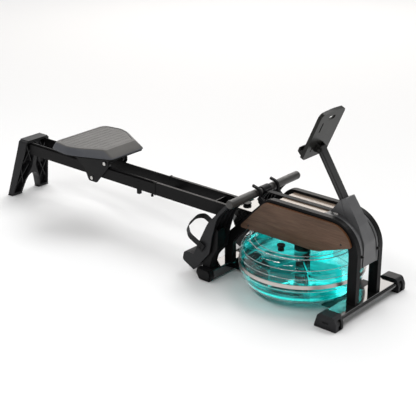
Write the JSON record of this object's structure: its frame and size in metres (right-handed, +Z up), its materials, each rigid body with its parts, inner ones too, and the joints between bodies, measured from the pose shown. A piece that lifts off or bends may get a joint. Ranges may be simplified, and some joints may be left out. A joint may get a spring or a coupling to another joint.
{
  "type": "rowing machine",
  "caption": "Water-resistance rowing machine: clear water tank under bent-tube hoops, folding twin rail with a rolling seat, strapped pedals, pull handle and tilting phone holder.",
  "frame": {"origin": "on the floor under the middle of the machine's bounding box", "axes": "+X along the rails towards the water tank, +Z up, the machine symmetric in shape across +Y"},
  "size_m": [2.071, 0.526, 0.7908],
  "materials": {
    "black_powder_coat": "semi-gloss powder coat",
    "charcoal_plastic": "fine-grained moulded",
    "black_plastic": "fine-grained moulded",
    "grey_cover": "satin",
    "walnut": "satin lacquer",
    "bare_steel": "brushed",
    "clear_shell": "clear",
    "tinted_water": "clear",
    "webbing": "woven",
    "grip_rubber": "satin",
    "black_rubber": "matt",
    "seat_foam": "grained skin",
    "painted_pin": "oiled"
  },
  "bodies": {
    "frame": {"front_crossbeam": "black_powder_coat", "front_cap_left": "charcoal_plastic", "front_cap_right": "charcoal_plastic", "wheel_axles": "painted_pin", "rear_crossbeam": "black_powder_coat", "rear_base_caps": "black_plastic", "tank_tray": "black_powder_coat", "hoop_left": "black_powder_coat", "hoop_right": "black_powder_coat", "side_panel_left": "walnut", "side_panel_right": "walnut", "panel_screws": "painted_pin", "top_panel": "walnut", "shroud": "grey_cover", "neck_cover": "grey_cover", "shroud_bolts": "painted_pin", "console_post": "grey_cover", "post_cap": "black_plastic", "tilt_pin": "painted_pin", "tank_lower": "clear_shell", "tank_upper": "clear_shell", "tank_band": "bare_steel", "tank_column": "black_plastic", "tank_plug": "black_rubber", "idler_axle": "bare_steel", "strap_tail": "webbing", "handle_hooks": "black_powder_coat", "pedal_left": "charcoal_plastic", "pedal_right": "charcoal_plastic", "foot_strap_left": "webbing", "foot_strap_right": "webbing", "strap_buckles": "black_plastic", "pedal_brackets": "black_powder_coat", "head_bracket": "black_powder_coat", "fold_pin": "painted_pin"},
    "wheel_left": {"transport_wheel_left": "black_rubber"},
    "wheel_right": {"transport_wheel_right": "black_rubber"},
    "phone_holder": {"phone_holder": "charcoal_plastic"},
    "paddle_wheel": {"impeller": "black_plastic", "impeller_shaft": "bare_steel", "water": "tinted_water"},
    "drum": {"strap_drum": "black_plastic"},
    "idler": {"idler_roller": "black_plastic"},
    "handle": {"handle_bar": "black_powder_coat", "handle_grips": "grip_rubber", "strap_clamp": "black_plastic", "pull_strap": "webbing"},
    "knob": {"lock_knob": "black_plastic"},
    "rails": {"rail_nose": "black_powder_coat", "rail_left": "black_powder_coat", "rail_right": "black_powder_coat", "rail_stops": "black_plastic", "rear_stand": "charcoal_plastic", "stand_feet": "black_rubber"},
    "rail_pin": {"seam_pin": "black_plastic"},
    "seat": {"seat_pad": "seat_foam", "seat_base": "black_plastic", "carriage_plates": "black_powder_coat"},
    "front_roller_set": {"front_rollers": "black_plastic"},
    "rear_roller_set": {"rear_rollers": "black_plastic"}
  },
  "joints": [
    {"name": "wheel_left_spin", "type": "hinge", "parent": "frame", "child": "wheel_left", "pos_m": [1.0145, 0.238, 0.024], "axis": [0, 1, 0], "continuous": true},
    {"name": "wheel_right_spin", "type": "hinge", "parent": "frame", "child": "wheel_right", "pos_m": [1.0145, -0.238, 0.024], "axis": [0, 1, 0], "continuous": true},
    {"name": "holder_tilt", "type": "hinge", "parent": "frame", "child": "phone_holder", "pos_m": [0.76724, 0, 0.61792], "axis": [0, 1, 0], "range_deg": [-12, 20]},
    {"name": "paddle_spin", "type": "hinge", "parent": "frame", "child": "paddle_wheel", "pos_m": [0.6915, 0, 0.1], "axis": [0, 0, 1], "continuous": true},
    {"name": "handle_pull", "type": "slide", "parent": "frame", "child": "handle", "axis": [-0.9703, 0, 0.2419], "range_m": [0, 0.85], "stiffness_N_per_m": 12, "springref_m": -0.5, "deforming": ["pull_strap"]},
    {"name": "drum_spin", "type": "hinge", "parent": "frame", "child": "drum", "pos_m": [0.6915, 0, 0.27], "axis": [0, 0, 1], "range_deg": [0, 1310]},
    {"name": "idler_spin", "type": "hinge", "parent": "frame", "child": "idler", "pos_m": [0.8855, 0, 0.355], "axis": [0, -1, 0], "range_deg": [0, 2500]},
    {"name": "knob_lift", "type": "slide", "parent": "frame", "child": "knob", "axis": [0, 0, 1], "range_m": [0, 0.008], "stiffness_N_per_m": 400, "springref_m": -0.01},
    {"name": "rail_fold", "type": "hinge", "parent": "frame", "child": "rails", "pos_m": [0.3855, 0, 0.262], "axis": [0, 1, 0], "range_deg": [0, 85]},
    {"name": "seam_pin_pull", "type": "slide", "parent": "rails", "child": "rail_pin", "axis": [0, 0, -1], "range_m": [0, 0.006], "stiffness_N_per_m": 300, "springref_m": -0.01},
    {"name": "seat_slide", "type": "slide", "parent": "rails", "child": "seat", "axis": [1, 0, 0], "range_m": [-0.31, 0.24]},
    {"name": "front_roller_spin", "type": "hinge", "parent": "seat", "child": "front_roller_set", "pos_m": [-0.3895, 0, 0.302], "axis": [0, 1, 0], "continuous": true},
    {"name": "rear_roller_spin", "type": "hinge", "parent": "seat", "child": "rear_roller_set", "pos_m": [-0.5745, 0, 0.302], "axis": [0, 1, 0], "continuous": true}
  ],
  "couplings": [
    {"joint": "drum_spin", "follows": "handle_pull", "rad_per_m": 22.988},
    {"joint": "idler_spin", "follows": "handle_pull", "rad_per_m": 43.478}
  ]
}
